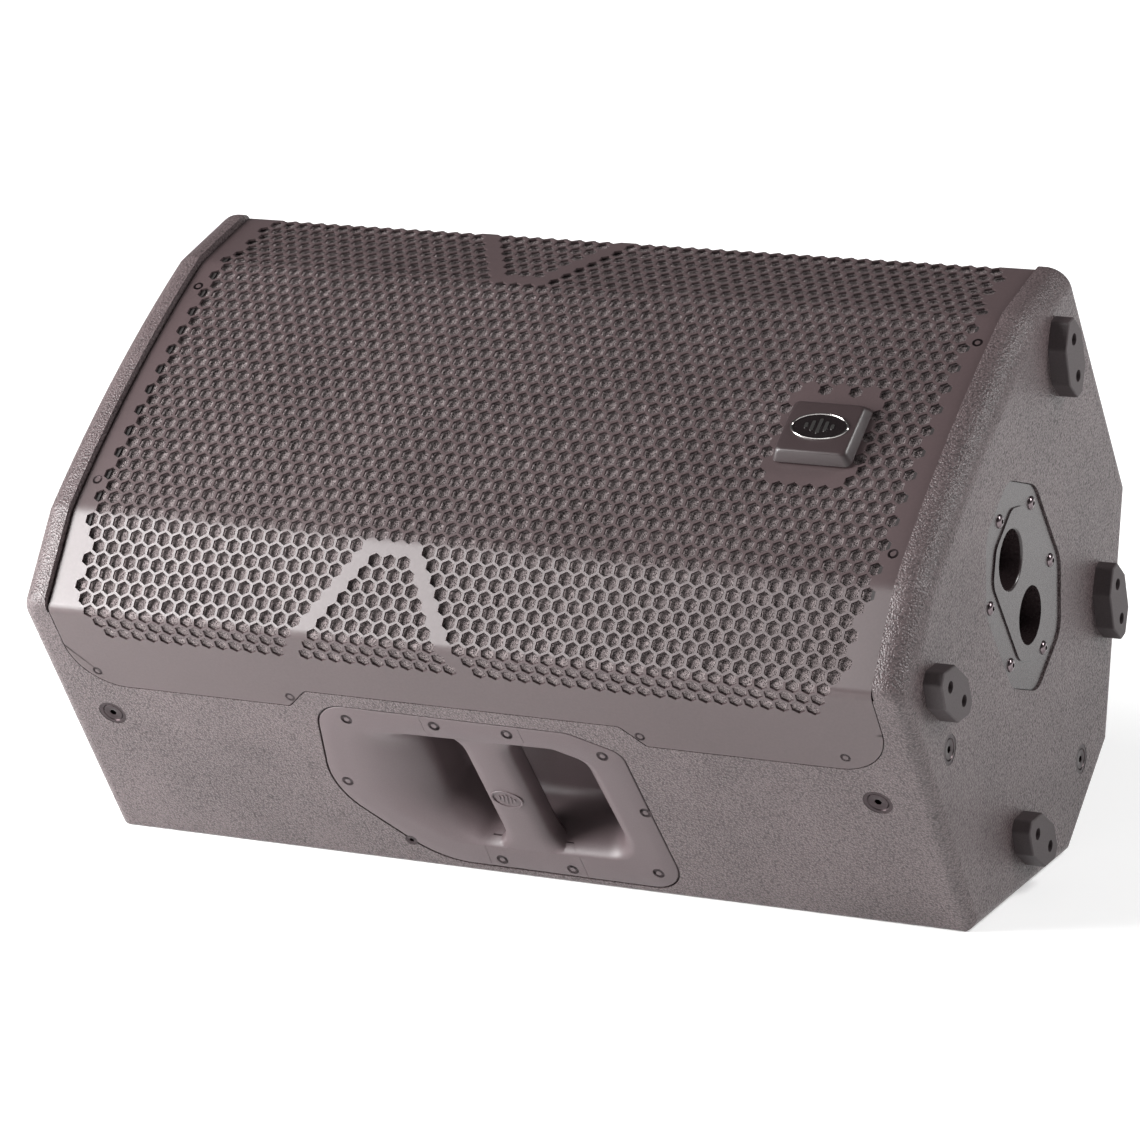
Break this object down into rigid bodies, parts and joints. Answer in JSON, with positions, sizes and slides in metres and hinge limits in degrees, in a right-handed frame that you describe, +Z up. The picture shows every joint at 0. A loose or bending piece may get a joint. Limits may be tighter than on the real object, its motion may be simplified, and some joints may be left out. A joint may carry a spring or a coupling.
{
  "type": "stage monitor wedge",
  "caption": "Stage monitor wedge: dark textured cabinet with a bowed hexagon-perforated grille, moulded side handle, pole sockets and rubber feet on one end.",
  "frame": {"origin": "bottom centre of the bounding box, on the floor plane under the floor board", "axes": "+X along the cabinet towards the end with the pole sockets and feet, +Y away from the listener to the rear, +Z up"},
  "size_m": [0.612, 0.3688, 0.374],
  "materials": {
    "textured_paint": "plywood board with a dark fine-grained cabinet paint",
    "bare_plywood": "birch plywood, stained edges",
    "grille_paint": "satin powder coat on steel sheet",
    "acoustic_foam": "open-cell foam and felt",
    "moulded_plastic": "fine spark-eroded ABS",
    "polished_inlay": "bright plated inlay",
    "black_screw": "black zinc plating",
    "plated_screw": "dark zinc plating, bright head",
    "cast_alloy": "die cast and satin painted",
    "foot_rubber": "moulded rubber",
    "roll_rubber": "moulded rubber roll",
    "paper_cone": "coated paper",
    "coil_alloy": "bare aluminium",
    "magnet_steel": "zinc plated steel",
    "ferrite": "sintered ferrite",
    "panel_paint": "black painted aluminium",
    "black_anodised": "black anodised extrusion",
    "circuit_laminate": "green solder mask on glass laminate",
    "component_plastic": "sleeved and wound components",
    "gloss_plastic": "glossy black plastic",
    "green_lens": "tinted light pipe"
  },
  "bodies": {
    "root": {"handle_board": "textured_paint", "floor_board": "textured_paint", "rear_board": "textured_paint", "back_board": "textured_paint", "top_board": "textured_paint", "end_board_left": "textured_paint", "end_board_right": "textured_paint", "front_baffle": "bare_plywood", "cross_brace": "bare_plywood", "grille_battens": "bare_plywood", "grille": "grille_paint", "grille_foam": "acoustic_foam", "grille_screws": "black_screw", "handle_cup": "moulded_plastic", "handle_grip": "moulded_plastic", "handle_screws": "black_screw", "pole_plate": "cast_alloy", "pole_plate_screws": "plated_screw", "rubber_foot_1": "foot_rubber", "rubber_foot_2": "foot_rubber", "rubber_foot_3": "foot_rubber", "rubber_foot_4": "foot_rubber", "foot_screws": "plated_screw", "rigging_inserts": "black_screw", "blanking_screws": "black_screw", "woofer_frame": "cast_alloy", "magnet_top_plate": "magnet_steel", "magnet_ring": "ferrite", "magnet_yoke": "magnet_steel", "cone_suspension": "roll_rubber", "horn_flare": "moulded_plastic", "compression_driver": "magnet_steel", "driver_screws": "plated_screw", "port_tubes": "moulded_plastic", "damping_felt": "acoustic_foam", "amp_plate": "panel_paint", "amp_plate_screws": "black_screw", "heat_sink": "black_anodised", "amp_circuit_board": "circuit_laminate", "board_posts": "coil_alloy", "board_components": "component_plastic", "input_socket_1": "gloss_plastic", "input_socket_2": "gloss_plastic", "link_socket": "gloss_plastic", "mains_inlet": "gloss_plastic", "control_bodies": "moulded_plastic", "signal_lens": "green_lens", "rocker_frame": "moulded_plastic"},
    "badge": {"badge_tile": "moulded_plastic", "badge_emblem": "polished_inlay", "badge_pivot": "moulded_plastic"},
    "cone": {"woofer_cone": "paper_cone", "dust_cap": "paper_cone", "voice_coil": "coil_alloy"},
    "level_knob_1_body": {"level_knob_1": "moulded_plastic"},
    "level_knob_2_body": {"level_knob_2": "moulded_plastic"},
    "mains_rocker_body": {"mains_rocker": "gloss_plastic"},
    "filter_button_body": {"filter_button": "gloss_plastic"},
    "release_tab_1_body": {"release_tab_1": "gloss_plastic"},
    "release_tab_2_body": {"release_tab_2": "gloss_plastic"}
  },
  "joints": [
    {"name": "badge_turn", "type": "hinge", "parent": "root", "child": "badge", "pos_m": [0.194, -0.0629, 0.29706], "axis": [0, -0.5827, 0.8127], "range_deg": [0, 90]},
    {"name": "cone_travel", "type": "slide", "parent": "root", "child": "cone", "axis": [0, -0.5827, 0.8127], "range_m": [-0.006, 0.006], "stiffness_N_per_m": 4000},
    {"name": "level_1_turn", "type": "hinge", "parent": "root", "child": "level_knob_1_body", "pos_m": [0.046, 0.12492, 0.0458], "axis": [0, 0.6163, -0.7875], "range_deg": [-150, 150]},
    {"name": "level_2_turn", "type": "hinge", "parent": "root", "child": "level_knob_2_body", "pos_m": [0.086, 0.12492, 0.0458], "axis": [0, 0.6163, -0.7875], "range_deg": [-150, 150]},
    {"name": "mains_rock", "type": "hinge", "parent": "root", "child": "mains_rocker_body", "pos_m": [-0.098, 0.10344, 0.03267], "axis": [1, 0, 0], "range_deg": [0, 12]},
    {"name": "filter_press", "type": "slide", "parent": "root", "child": "filter_button_body", "axis": [0, -0.6163, 0.7875], "range_m": [0, 0.0025], "stiffness_N_per_m": 400},
    {"name": "release_1_press", "type": "slide", "parent": "root", "child": "release_tab_1_body", "axis": [0, -0.6163, 0.7875], "range_m": [0, 0.0015], "stiffness_N_per_m": 500},
    {"name": "release_2_press", "type": "slide", "parent": "root", "child": "release_tab_2_body", "axis": [0, -0.6163, 0.7875], "range_m": [0, 0.0015], "stiffness_N_per_m": 500}
  ]
}
